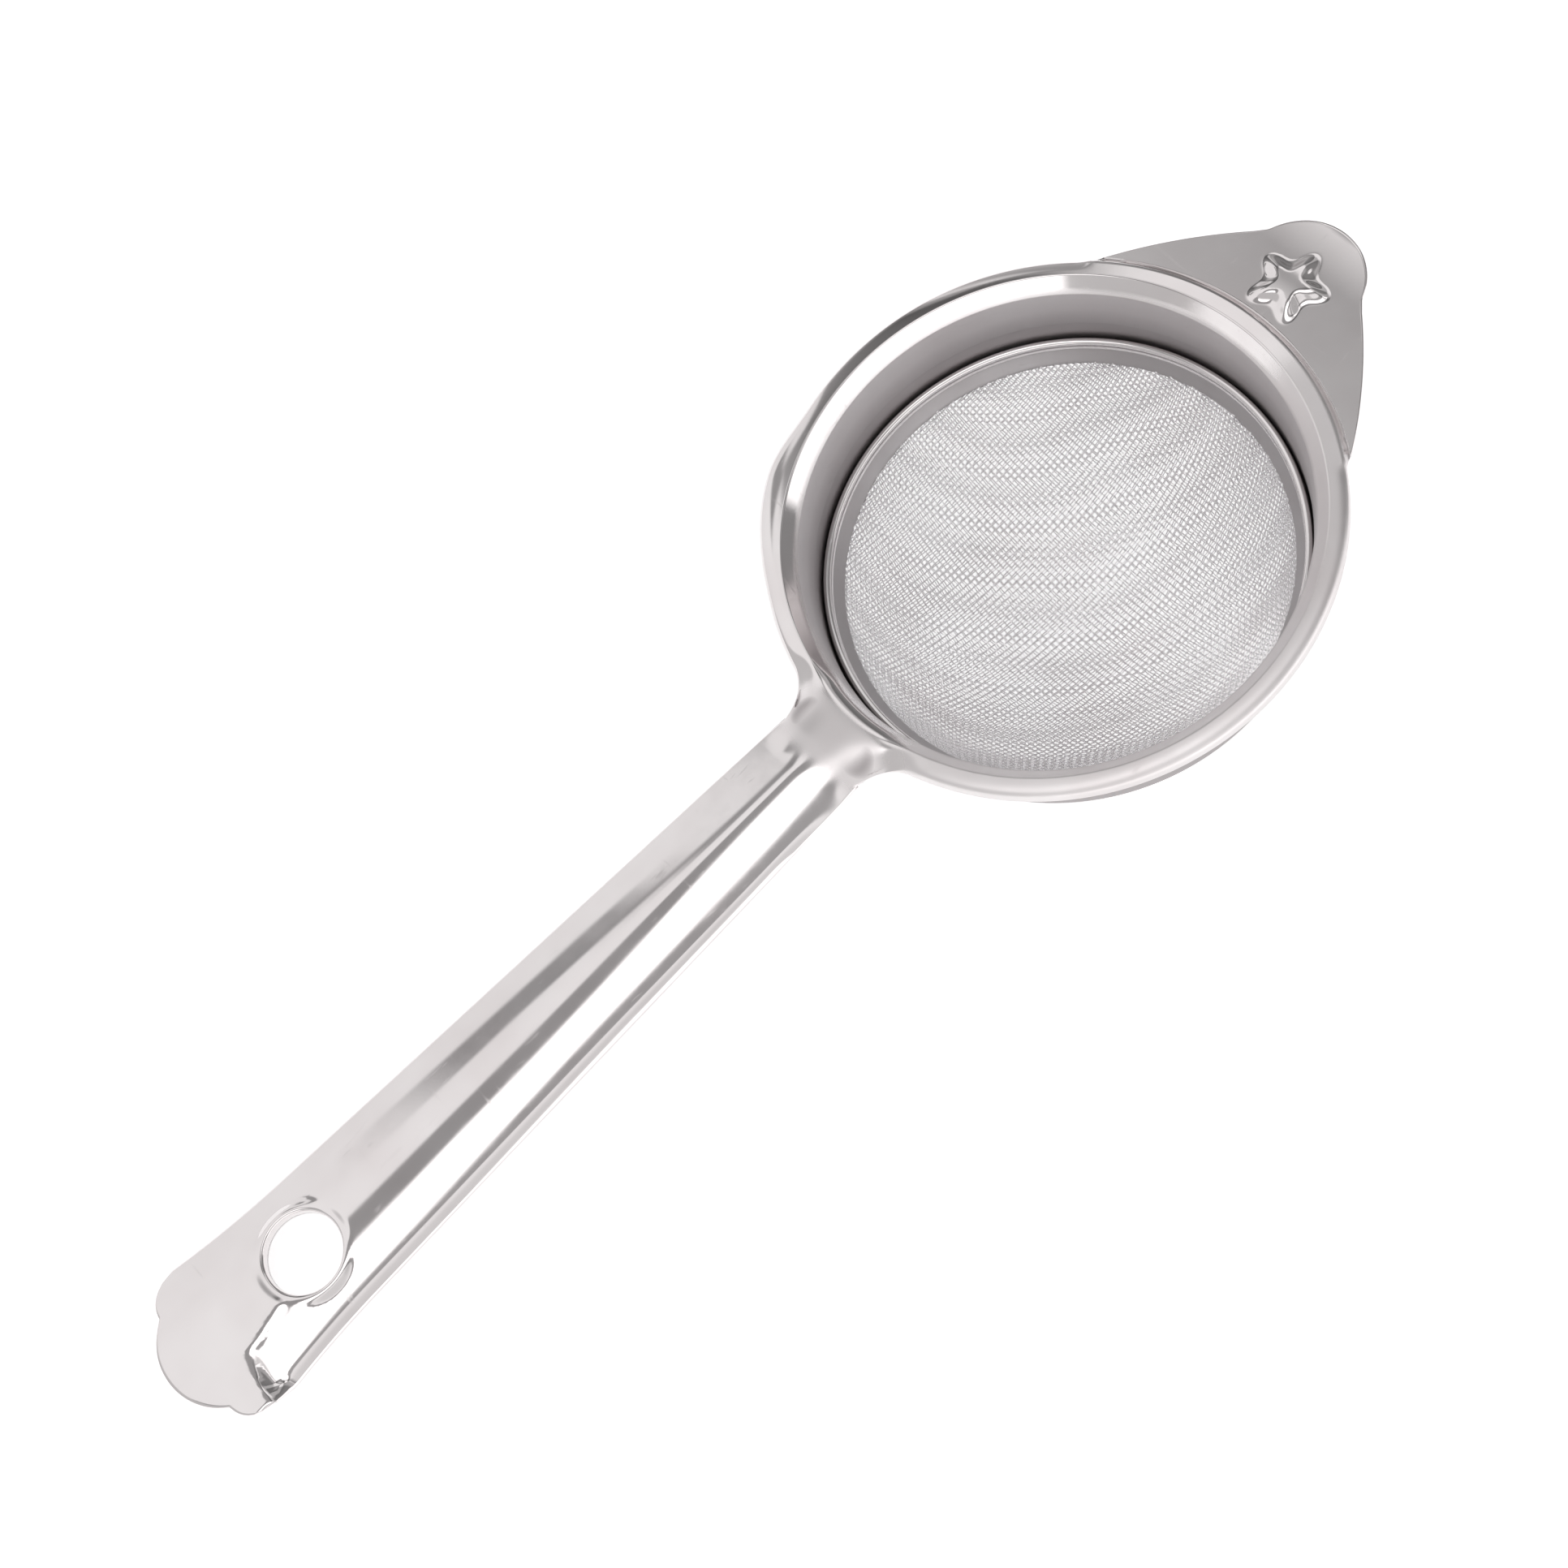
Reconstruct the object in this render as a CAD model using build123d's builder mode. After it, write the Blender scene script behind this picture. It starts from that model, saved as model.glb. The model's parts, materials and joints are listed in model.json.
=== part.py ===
from build123d import *

import os
from math import asin, atan2, cos, degrees, hypot, radians, sin, tan

# Hand tea strainer, lying on a table: the wire bowl and the end of the handle touch z = 0.
# The rim has a frame of its own. Its origin is the rim's centre at the flange's crest, x runs from
# the handle to the rest tab, and z is the rim's axis. Depths are measured down from the crest.

# --- sheet metal frame: flange and collar ---------------------------------------------------
sheet = 0.5  # thickness of the pressed sheet
rim_radius = 36.0  # outer edge of the flange
flange_width = 3.8  # from the outer edge in to the collar's mouth
flange_edge_depth = 2.2  # how far the outer edge turns down from the crest
flange_bend_radius = 1.1
mouth_depth = 3.4  # where the flange's inner slope becomes the collar's wall
collar_step = 4.8  # from the outer edge in to the collar's straight lower part
collar_seat_start = 8.5  # depth where the straight part begins
collar_foot_depth = 15.0  # depth of the inward foot's upper face
collar_foot_width = 1.6
collar_bend_radius = 0.8
foot_bend_radius = 0.4
flange_slope = 0.8  # how far the flange's inner slope leans

# --- wire cloths and the ring that clamps them ----------------------------------------------
cloth = 0.4  # thickness of one woven cloth
cloth_gap = 0.1  # between the two bowls
bowl_depth = 36.0  # crest of the flange to the bottom of the outer bowl
bowl_mouth_clearance = 0.3  # outer bowl to the edge of the collar's foot
brim_clearance = 0.1  # edge of the cloths to the bend at the collar's foot
ring_height = 2.8
ring_strip = 0.45  # thickness of the retaining ring's strip
ring_bead_width = 1.1
ring_band_angle = 56.0  # how steeply the band slopes down to the cloth
ring_bend_radius = 0.1  # inside of the strip's bends

# --- handle ---------------------------------------------------------------------------------
handle_reach = 111.3  # rim's edge to the tip
neck_width = 13.2
neck_reach = 9.0  # rim's edge to the place where the neck is narrowest
grip_width = 19.1
grip_setback = 25.3  # tip to the place where the sides begin to flare
end_width = 22.2
end_setback = 8.3  # tip to the widest place
handle_crest_depth = 0.3  # crest of the arch below the flange's crest
arch_depth = 2.2  # crest of the arch to its turned-down sides
end_crest_depth = 1.1  # the arch fades towards the tip
end_edge_depth = 1.6
end_notch_setback = 3.7  # tip to the two notches
end_notch_width = 14.6
end_lobe_bulge = 0.3
arch_fade = 0.4  # share of the arch that is left at the widest place
neck_fillet_radius = 5.5
hole_setback = 21.8  # tip to the hole's centre
hole_radius = 5.0
hole_lip_top = 0.55  # depth of the lip's upper edge
hole_lip_length = 1.6
hole_lip_wall = 0.5
strip_margin = 0.6  # the arched strip is trimmed by this much at each side
strip_root = 6.0  # and begins this far inside the rim's edge
strip_overrun = 1.0  # and ends this far past the tip

# --- rest tab -------------------------------------------------------------------------------
tab_reach = 15.5  # rim's edge to the tip
tab_drop = 0.1  # flange's edge down to the tab's flat underside
tab_root_angle = 38.0  # from the rim's x axis
tab_shoulder_setback = 6.7
tab_shoulder_width = 18.0
tab_notch_setback = 5.3
tab_notch_width = 15.4
tab_side_slope = 0.58
star_setback = 9.5  # tip to the star's centre
star_points = 5
star_radius = 4.6
star_valley_ratio = 0.52
star_top_ratio = 0.34
star_height = 1.5
star_turn = 11.0

# --- derived sizes --------------------------------------------------------------------------
mouth_radius = rim_radius - flange_width
collar_seat_radius = rim_radius - collar_step
foot_opening_radius = collar_seat_radius - collar_foot_width
brim_radius = collar_seat_radius - foot_bend_radius - brim_clearance
web_depth = flange_edge_depth - sheet  # upper face of the flat neck
tab_depth = flange_edge_depth + tab_drop - sheet  # upper face of the rest tab
ring_foot_depth = collar_foot_depth - 2 * cloth
joint_radius = rim_radius - 0.9 * sheet  # handle, neck and tab end here, inside the flange's wall
handle_length = rim_radius + handle_reach
neck_distance = rim_radius + neck_reach
grip_distance = handle_length - grip_setback
end_distance = handle_length - end_setback
hole_distance = handle_length - hole_setback
arch_edge_depth = handle_crest_depth + arch_depth
outline_height = 3 * arch_depth  # half the height of the blanks that trim the arched strip
tab_length = rim_radius + tab_reach
star_distance = tab_length - star_setback

# The outer bowl is a cap of a ball that passes through the foot's opening and the bowl's bottom.
bowl_mouth_radius = foot_opening_radius - bowl_mouth_clearance
bowl_rise = bowl_depth - collar_foot_depth
ball_radius = (bowl_mouth_radius**2 + bowl_rise**2) / (2 * bowl_rise)
ball_depth = bowl_depth - ball_radius

# The table touches the ball and the underside of the handle's tip, which sets the rim's tilt.
tip_depth = end_crest_depth + sheet
drop = tip_depth - ball_depth
tilt = asin(ball_radius / hypot(handle_length, drop)) + atan2(-drop, handle_length)
rim_height = ball_radius + ball_depth * cos(tilt)

# The frame's origin is on the table, midway between the handle's tip and the tab's tip.
low_end = -handle_length * cos(tilt) + end_crest_depth * sin(tilt)
high_end = tab_length * cos(tilt) + (tab_depth + sheet) * sin(tilt)
rim_shift = -(low_end + high_end) / 2

rim = Plane(
    origin=(rim_shift, 0, rim_height),
    x_dir=(cos(tilt), 0, sin(tilt)),
    z_dir=(-sin(tilt), 0, cos(tilt)),
)
section = Plane(origin=rim.origin, x_dir=rim.x_dir, z_dir=-rim.y_dir)
rim_axis = Axis(rim.origin, rim.z_dir)


def rim_level(depth):
    """The plane parallel to the rim, at a depth below the flange's crest."""
    return rim.offset(-depth)


def across_handle(distance):
    """The plane square to the handle, at a distance from the rim's axis."""
    centre = rim.from_local_coords(Vector(-distance, 0, 0))
    return Plane(origin=centre, x_dir=rim.y_dir, z_dir=rim.x_dir)


def arch_section(distance, width, crest_depth, edge_depth):
    """One cross-section of the handle: a shallow arch of sheet."""
    half = width / 2
    with BuildSketch(across_handle(distance)) as arch:
        with BuildLine():
            top = ThreePointArc((-half, -edge_depth), (0, -crest_depth), (half, -edge_depth))
            low = ThreePointArc(
                (-half, -edge_depth - sheet), (0, -crest_depth - sheet), (half, -edge_depth - sheet)
            )
            Line(top @ 0, low @ 0)
            Line(top @ 1, low @ 1)
        make_face()
    return arch.sketch


def handle_half_width(distance):
    """Half the handle's width: a straight taper to the grip, then a wider flare to the end."""
    if distance < grip_distance:
        share = (distance - neck_distance) / (grip_distance - neck_distance)
        return (neck_width + (grip_width - neck_width) * share) / 2
    share = (distance - grip_distance) / (end_distance - grip_distance)
    return (grip_width + (end_width - grip_width) * share) / 2


def star_sketch(level, size):
    """A five-pointed star on the rest tab, parallel to the rim."""
    step = 180 / star_points
    with BuildSketch(level) as star:
        with Locations((star_distance, 0)):
            with BuildLine(mode=Mode.PRIVATE) as outline:
                corners = []
                for i in range(2 * star_points):
                    reach = size if i % 2 == 0 else size * star_valley_ratio
                    corners.append(Vector(reach, 0).rotate(Axis.Z, star_turn + i * step))
                Polyline(*corners, close=True)
            add(make_face(outline.line.edges(), mode=Mode.PRIVATE))
    return star.sketch


def star_boss(depth):
    """The pressed star: it rises from the tab at this depth to a smaller star."""
    with BuildPart() as boss:
        add(star_sketch(rim_level(depth), star_radius))
        add(star_sketch(rim_level(depth - star_height), star_radius * star_top_ratio))
        loft()
    return boss.part


# The arched strip keeps one arch as far as the grip, and flattens from there to the tip.
root_distance = rim_radius - strip_root
arch_stations = (
    (root_distance, handle_crest_depth, arch_edge_depth),
    (neck_distance, handle_crest_depth, arch_edge_depth),
    ((neck_distance + grip_distance) / 2, handle_crest_depth, arch_edge_depth),
    (grip_distance, handle_crest_depth, arch_edge_depth),
    (
        end_distance,
        end_crest_depth + (handle_crest_depth - end_crest_depth) * arch_fade,
        end_edge_depth + (arch_edge_depth - end_edge_depth) * arch_fade,
    ),
    (handle_length + strip_overrun, end_crest_depth, end_edge_depth),
)
with BuildPart() as handle_strip:
    for distance, crest, edge in arch_stations:
        half = handle_half_width(min(distance, end_distance)) + strip_margin
        add(arch_section(distance, 2 * half, crest, edge))
    loft()

# Plan outline of the handle: tapered sides, two small corner lobes and a large middle lobe.
with BuildPart() as handle_outline:
    with BuildSketch(rim):
        with BuildLine():
            root = (-root_distance, handle_half_width(root_distance))
            grip = (-grip_distance, grip_width / 2)
            end = (-end_distance, end_width / 2)
            notch = (-(handle_length - end_notch_setback), end_notch_width / 2)
            lobe_x = (end[0] + 3 * notch[0]) / 4
            lobe = (lobe_x, (3 * end[1] + notch[1]) / 4 + end_lobe_bulge)
            tip = (-handle_length, 0)
            Line((root[0], 0), root)
            side = Line(root, grip)
            TangentArc(grip, end, tangent=side % 1)
            ThreePointArc(end, lobe, notch)
            TangentArc(tip, notch, tangent=(0, 1))
            mirror(about=Plane.XZ)
        make_face()
    extrude(amount=outline_height, both=True)

with BuildPart() as handle:
    add(handle_strip.part)
    add(handle_outline.part, mode=Mode.INTERSECT)
    with BuildSketch(rim):
        Circle(joint_radius)
    extrude(amount=outline_height, both=True, mode=Mode.SUBTRACT)

# Rest tab: sides that leave the flange at a slope, a notch on each, and a round lobe.
with BuildPart() as rest_tab:
    with BuildSketch(rim_level(tab_depth)):
        with BuildLine():
            angle = radians(tab_root_angle)
            root = (rim_radius * cos(angle), rim_radius * sin(angle))
            shoulder = (tab_length - tab_shoulder_setback, tab_shoulder_width / 2)
            notch = (tab_length - tab_notch_setback, tab_notch_width / 2)
            Line((0, 0), root)
            TangentArc(root, shoulder, tangent=(1, -tab_side_slope))
            Line(shoulder, notch)
            TangentArc((tab_length, 0), notch, tangent=(0, 1))
            mirror(about=Plane.XZ)
        make_face()
        Circle(joint_radius, mode=Mode.SUBTRACT)
    extrude(amount=-sheet)
    add(star_boss(tab_depth))
    add(star_boss(tab_depth + sheet), mode=Mode.SUBTRACT)

# Neck: a flat web that rounds the corners between the handle and the flange.
with BuildPart() as neck_web:
    with BuildSketch(rim_level(web_depth)):
        Circle(rim_radius)
        with Locations((-neck_distance / 2, 0)):
            Rectangle(neck_distance, neck_width)
        fillet(vertices().sort_by(Axis.X)[2:4], radius=neck_fillet_radius)
        Circle(joint_radius, mode=Mode.SUBTRACT)
    extrude(amount=-sheet)

# One pressed sheet: flange, collar and foot, with the handle, its neck and the rest tab.
with BuildPart() as strainer_frame:
    with BuildSketch(section):
        with BuildLine():
            wall = FilletPolyline(
                (rim_radius, -flange_edge_depth),
                (rim_radius, 0),
                (mouth_radius + flange_slope, 0),
                (mouth_radius, -mouth_depth),
                (collar_seat_radius, -collar_seat_start),
                (collar_seat_radius, -collar_foot_depth),
                (foot_opening_radius, -collar_foot_depth),
                radius=[
                    flange_bend_radius,
                    flange_bend_radius,
                    collar_bend_radius,
                    collar_bend_radius,
                    foot_bend_radius,
                ],
            )
            offset(wall, amount=sheet, side=Side.LEFT)
        make_face()
    revolve(axis=rim_axis)
    add(handle.part)
    add(neck_web.part)
    add(rest_tab.part)

    # Hanging hole with a short lip turned down through the arch.
    hole_spot = Location((-hole_distance, 0, 0))
    with BuildSketch(rim_level(hole_lip_top)):
        with Locations(hole_spot):
            Circle(hole_radius + hole_lip_wall)
    extrude(amount=-hole_lip_length)
    with BuildSketch(rim):
        with Locations(hole_spot):
            Circle(hole_radius)
    extrude(amount=outline_height, both=True, mode=Mode.SUBTRACT)

# Ring pressed into the collar: an upright leg, a rounded bead and a band that slopes to the cloth.
with BuildPart() as retaining_ring:
    with BuildSketch(section):
        with BuildLine():
            bead_edge = collar_seat_radius - ring_bead_width
            band_foot = ring_strip * cos(radians(ring_band_angle))
            band_width = (ring_height - band_foot) / tan(radians(ring_band_angle))
            strip = FilletPolyline(
                (collar_seat_radius, -ring_foot_depth),
                (collar_seat_radius, ring_height - ring_foot_depth),
                (bead_edge, ring_height - ring_foot_depth),
                (bead_edge - band_width, band_foot - ring_foot_depth),
                radius=[ring_strip + ring_bend_radius, ring_strip + ring_bend_radius],
            )
            offset(strip, amount=ring_strip, side=Side.LEFT)
        make_face()
    revolve(axis=rim_axis)


def cloth_bowl(inside_radius, brim_depth):
    """One cloth as a thin shell: a flat brim that the ring clamps, and a cap of a ball."""
    mouth_rise = ball_depth - brim_depth
    start_angle = degrees(asin(mouth_rise / inside_radius))
    with BuildPart() as bowl:
        with BuildSketch(section):
            with BuildLine():
                cap = CenterArc((0, -ball_depth), inside_radius, start_angle, -90 - start_angle)
                brim = Line((brim_radius, -brim_depth), cap @ 0)
                offset(Wire([brim, cap]), amount=cloth, side=Side.LEFT)
            make_face()
        revolve(axis=rim_axis)
    return bowl.part


with BuildPart() as outer_mesh:
    add(cloth_bowl(ball_radius - cloth, collar_foot_depth - cloth))

with BuildPart() as inner_mesh:
    add(cloth_bowl(ball_radius - 2 * cloth - cloth_gap, collar_foot_depth - 2 * cloth))

os.makedirs("parts", exist_ok=True)
strainer_frame.part.label = "strainer_frame"
export_step(strainer_frame.part, "parts/strainer_frame.step")
retaining_ring.part.label = "retaining_ring"
export_step(retaining_ring.part, "parts/retaining_ring.step")
outer_mesh.part.label = "outer_mesh"
export_step(outer_mesh.part, "parts/outer_mesh.step")
inner_mesh.part.label = "inner_mesh"
export_step(inner_mesh.part, "parts/inner_mesh.step")
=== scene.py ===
"""Looks of the tea strainer: pressed sheet frame, retaining ring and two woven wire bowls."""

import json
import math

import bpy
import numpy as np
from mathutils import Matrix, Vector


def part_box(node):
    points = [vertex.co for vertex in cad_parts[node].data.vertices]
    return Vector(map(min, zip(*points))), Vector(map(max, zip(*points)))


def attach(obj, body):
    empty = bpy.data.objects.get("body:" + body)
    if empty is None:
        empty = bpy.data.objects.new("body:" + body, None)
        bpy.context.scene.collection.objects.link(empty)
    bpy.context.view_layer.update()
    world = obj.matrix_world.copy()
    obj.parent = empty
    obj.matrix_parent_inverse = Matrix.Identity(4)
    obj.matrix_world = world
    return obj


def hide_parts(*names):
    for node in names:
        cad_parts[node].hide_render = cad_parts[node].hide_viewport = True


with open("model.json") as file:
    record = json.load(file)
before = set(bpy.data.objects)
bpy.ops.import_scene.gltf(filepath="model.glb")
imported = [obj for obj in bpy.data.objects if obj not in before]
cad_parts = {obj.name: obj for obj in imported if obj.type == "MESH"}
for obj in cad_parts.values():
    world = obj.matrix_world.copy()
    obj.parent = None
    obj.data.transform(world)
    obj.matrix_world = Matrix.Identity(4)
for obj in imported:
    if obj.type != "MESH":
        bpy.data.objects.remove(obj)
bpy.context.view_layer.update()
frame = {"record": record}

# --- sizes in millimetres; depths are measured down from the rim plane ----------------------------
MM = 0.001
SHEET = 0.45
EDGE_ROUND = 0.12  # how far a cut edge swells past the sheet's outline

# collar
COLLAR_DEPTH = 11.75  # rim plane to the middle of the collar's seat
COLLAR_SEAT, COLLAR_SEAT_START, COLLAR_FOOT, FOOT_OPENING = 31.2, 8.5, 15.0, 29.6
CREASE_RADIUS, CREASE_DEPTH = 31.9, 2.45  # where the collar meets the flange's inner slope
COLLAR_BENDS = (0.4, 1.6, 0.25)  # radii at the foot, above the seat and at the crease

# flange
RIDGE_RADIUS, RIDGE_DEPTH = 33.6, 0.45  # highest line of the flange
FLANGE_SLOPE = 0.105  # outward fall of the flange's top
FLANGE_EDGE_DEPTH = 2.1
FLANGE_CORNER = 3.2  # exponent of the turned-down corner: higher is squarer
BULGE_HEIGHT, BULGE_FROM, BULGE_TO = 1.25, 104.0, 150.0  # uneven trim of the flange, degrees
BULGE_RISE, BULGE_DROP = 0.35, 0.65  # shares of the bulge's length

# outline of the handle
NECK_FILLET = 5.5
NECK_HALF = 6.65
NECK_SPREAD = 1.25  # the neck's saddle runs into the flange this much further than its fillets
GRIP_FROM_END, END_FROM_TIP = 25.3, 8.3
GRIP_HALF, END_HALF = 9.55, 11.1
TIP_FROM_HOLE = 21.8
NOTCH_FROM_TIP, NOTCH_HALF, NOTCH_STEP, END_CORNER = 3.7, 7.3, 0.5, 2.6

# arch of the handle
CREST_DEPTH, ARCH_DEPTH = 0.3, 2.2
RIDGE_ROUND = 0.05  # rounding of the handle's ridge, as a share of its half width
RIDGE_AT_NECK, RIDGE_AT_GRIP = 1.5, 2.0  # exponents of the arch: a lower one has a sharper ridge
RIDGE_START, RIDGE_RUN = 8.0, 45.0  # from the neck
NECK_ARCH, NECK_ARCH_START, NECK_ARCH_RUN = 2.6, 2.2, 2.0  # flatter arch next to the neck
CURL_DEPTH, CURL_FROM, CURL_START, CURL_RUN = 0.42, 0.87, 4.0, 10.0  # extra turn of the -y edge

# end of the handle; "past" is the distance from the hole's centre towards the tip
END_CREST_DEPTH, END_CREST_START, END_CREST_RUN = 1.15, 11.0, 10.0  # from the tip
FAR_EDGE_DEPTH, FAR_EDGE_PAST, FAR_EDGE_RUN = 2.3, 3.5, 15.0
PLATE_FALL = 0.12  # fall of the flat plate from its middle to its edges
PLATE_FROM, PLATE_RUN = 0.1, 0.5  # the plate fades into the arch on the +y side
PLATE_PAST, PLATE_RUN_NEAR, PLATE_RUN_FAR = 4.0, 2.0, 9.0  # it begins sooner beside the pocket
POCKET_TOP, POCKET_CORNER = (4.85, 2.8), (10.9, 4.7)  # past, and distance from the axis
POCKET_PAST, POCKET_SKEW, POCKET_SIDE, POCKET_WALL = 11.2, 0.3, 1.3, 1.5
STRIP_PAST, STRIP_RUN, STRIP_FROM, STRIP_FADE = 10.5, 4.0, 0.84, 0.08  # the -y edge past the pocket
HOLE_FLAT, HOLE_FADE = 5.4, 1.3  # the sheet is flat round the hole, then fades into the arch
HOLE_LIP_TOP, HOLE_LIP_MIDDLE, HOLE_LIP_DEPTH, HOLE_ROLL = 0.55, 1.4, 2.15, 0.42
HOLE_PATCH = (7.6, 7.4)  # half length and half width of the patch of rings round the hole

# rest tab
TAB_DEPTH = 1.8
TAB_STEP_START, TAB_STEP_RUN = 2.0, 1.0  # from the flange's ridge
TAB_STEP_END = 36.7
TAB_REACH = 15.5
TAB_ROOT_ANGLE, TAB_ROOT_MARGIN, TAB_ROOT_FADE = 38.0, 2.0, 4.2
TAB_ROOT_SLOPE = -0.58  # of the tab's side where it leaves the rim
TAB_SHOULDER = (6.7, 9.0)  # back from the tip, half width
TAB_NOTCH = (5.3, 7.7)
TAB_LIFT, TAB_LIFT_START, TAB_LIFT_RUN = 0.25, 3.0, 6.0  # the tip turns up a little past the star
STAR_FROM_TIP, STAR_ASIDE, STAR_TURN, STAR_POINTS = 9.5, 0.3, 2.0, 5
STAR_RADIUS, STAR_LOBE, STAR_VALLEY = 4.1, 0.9, 1.3  # mean outline, half its swing, narrowness of the points
STAR_HEIGHT, STAR_FOOT, STAR_SLOPE, STAR_CORE, STAR_DOME = 0.95, 0.5, 2.8, 3.6, 9.0

# dull parts of the sheet, as shares of full satin; past 0.85 a share also paints shade, on the collar and
# the saddle's sides
DRAWN_FROM_CREASE, DRAWN_FADE = 0.1, 0.4
# the collar's share grows from its top down to full, so its painted shade is darkest towards the foot
DRAWN_AT_TOP, DRAWN_TOP_DEPTH, DRAWN_TOP_RUN = 0.9, 3.5, 6.0
SADDLE_FROM_NECK, SADDLE_HANDLE, SADDLE_ACROSS, SADDLE_RADIUS, SADDLE_FADE = 2.0, 1.2, 0.55, 3.0, 3.2
# the saddle's middle stays below 0.85, so only its sides get painted shade
SADDLE_MIDDLE, SADDLE_MIDDLE_HALF, SADDLE_MIDDLE_FADE, SADDLE_FROM_RIDGE = 0.82, 3.5, 2.5, 1.5
RUBBED, RUBBED_FROM_AXIS, RUBBED_SIDE_RUN = 0.8, 2.0, 10.0
RUBBED_START, RUBBED_RUN, RUBBED_PAST_RIM = 40.0, 8.0, 0.5

# wire bowls
WIRE, PITCH = 0.2, 0.82
BOWL_DEPTH, BOWL_MOUTH = 36.0, 29.3
CLOTH_HALF = 0.2  # half the thickness of one cloth
LAYER_GAP, BRIM_GAP = 0.5, 0.4  # between the two cloths, in the ball and on the clamped brim
BRIM_WIDTH = 1.15
BAND_PITCH = 8.0  # width of the bands where the two cloths fall in and out of line
BAND_TURN, BAND_SLOPE, BAND_BEND = 42.0, 0.27, 0.0105
RIPPLE, RIPPLE_ACROSS, RIPPLE_PHASE, RIPPLE_ALONG = 0.9, 5.0, 1.0, 8.0  # unevenness of the bands

# --- fineness of the meshes -----------------------------------------------------------------------
FLANGE_SHARES = list(np.linspace(0, 0.86, 12)) + [0.9, 0.935, 0.962, 0.982, 0.994]
WALL_SHARES = (0.25, 0.5, 0.75, 1.0)
FLANGE_STOPS = [(-180, 0.42), (-156, 0.42), (-136, 1.1), (-60, 1.1), (-38, 0.6), (-14, 0.5), (-7.4, 0.24),
                (7.4, 0.24), (14, 0.5), (38, 0.6), (60, 1.0), (100, 1.0), (150, 1.0), (156, 0.42),
                (180, 0.42)]  # direction and the columns' spacing there, in degrees
STAR_GRID, STAR_GRID_HALF, TAB_TIP_ROWS = 0.23, 5.7, 14
HANDLE_ROWS, STRAIGHT_ROWS = 150, 0.9  # number of rows, and the share of them before the scalloped end
HOLE_RINGS, ROLL_RINGS = 12, 6
EASE_FROM_NECK, EASE_HANDLE, EASE_ACROSS = 1.5, 1.6, 0.8  # the patch at the neck that is evened out
EASE_RADIUS, EASE_FADE, EASE_ROUNDS = 6.0, 3.5, 20
RING_SEGMENTS, BEAD_POINTS = 720, 16
WIRE_SIDES = 6

# --- the rim's frame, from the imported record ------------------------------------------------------
mounts = {m["name"]: m for m in frame["record"]["mounts"]}
rim_axis = -np.array(mounts["collar"]["axis"])
rim_x = np.array((rim_axis[2], 0.0, -rim_axis[0]))
rim_y = np.array((0.0, 1.0, 0.0))
rim_centre = np.array(mounts["collar"]["pos_m"]) + rim_axis * COLLAR_DEPTH * MM
frame_low, frame_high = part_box("strainer_frame")
RIM = max(frame_high[1], -frame_low[1]) / MM
hole_place = (np.array(mounts["hanging_hole"]["pos_m"]) - rim_centre) / MM
HOLE_X = float(hole_place @ rim_x)
HOLE_RADIUS = mounts["hanging_hole"]["dims"]["r_mm"]
TIP_X = HOLE_X - TIP_FROM_HOLE
TAB_TIP = RIM + TAB_REACH


def to_row(points):
    """Rim coordinates in millimetres to the row's frame in metres."""
    p = np.asarray(points, dtype=float) * MM
    return rim_centre + p[..., 0:1] * rim_x + p[..., 1:2] * rim_y + p[..., 2:3] * rim_axis


def smooth(v):
    v = np.clip(v, 0.0, 1.0)
    return v * v * (3 - 2 * v)


def mix(a, b, share):
    return a * (1 - share) + b * share


# --- mesh helpers ---------------------------------------------------------------------------------
def new_object(name, points, faces, materials, slots=None, satin_and_shade=None):
    mesh = bpy.data.meshes.new(name)
    mesh.from_pydata(np.asarray(points).tolist(), [], faces)
    # per-point share of satin roughness; past 0.85 the steel material also paints shade from it
    if satin_and_shade is not None:
        mesh.attributes.new("satin_and_shade", "FLOAT", "POINT").data.foreach_set("value", satin_and_shade)
    mesh.validate()
    mesh.polygons.foreach_set("use_smooth", [True] * len(mesh.polygons))
    for material in materials:
        mesh.materials.append(material)
    if slots is not None:
        mesh.polygons.foreach_set("material_index", slots)
    mesh.update()
    obj = bpy.data.objects.new(name, mesh)
    bpy.context.scene.collection.objects.link(obj)
    return obj


class Sheet:
    """Collects patches of the sheet's upper face and welds them where they meet."""

    def __init__(self):
        self.points, self.faces = [], []

    def add_grid(self, grid, closed=False, skip=None):
        rows, cols = grid.shape[:2]
        start = sum(len(p) for p in self.points)
        self.points.append(np.asarray(grid, dtype=float).reshape(-1, 3))
        ids = np.arange(start, start + rows * cols).reshape(rows, cols)
        for i in range(rows - 1):
            for j in range(cols if closed else cols - 1):
                if skip is not None and skip(i, j):
                    continue
                k = (j + 1) % cols
                self.faces.append((ids[i, j], ids[i, k], ids[i + 1, k], ids[i + 1, j]))

    def weld(self, gap=1e-4):
        """Points and faces of the patches as one surface; the gap is the largest that closes."""
        pts = np.concatenate(self.points)
        keys = np.round(pts / gap).astype(np.int64)
        _, first, inverse = np.unique(keys, axis=0, return_index=True, return_inverse=True)
        inverse = inverse.reshape(-1)
        faces = []
        for f in self.faces:
            g = []
            for v in f:
                w = int(inverse[v])
                if w not in g:
                    g.append(w)
            if len(g) > 2:
                faces.append(tuple(g))
        used = sorted({v for f in faces for v in f})
        remap = {v: i for i, v in enumerate(used)}
        return pts[first][used], [tuple(remap[v] for v in f) for f in faces]


def vertex_normals(pts, faces):
    """Area-weighted normals of a welded surface."""
    normals = np.zeros_like(pts)
    quad = np.array([f if len(f) == 4 else (f[0], f[1], f[2], f[2]) for f in faces])
    a, b, c, d = (pts[quad[:, i]] for i in range(4))
    n = np.cross(c - a, d - b)
    for i in range(4):
        np.add.at(normals, quad[:, i], n)
    length = np.linalg.norm(normals, axis=1, keepdims=True)
    return normals / np.maximum(length, 1e-12)


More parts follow.
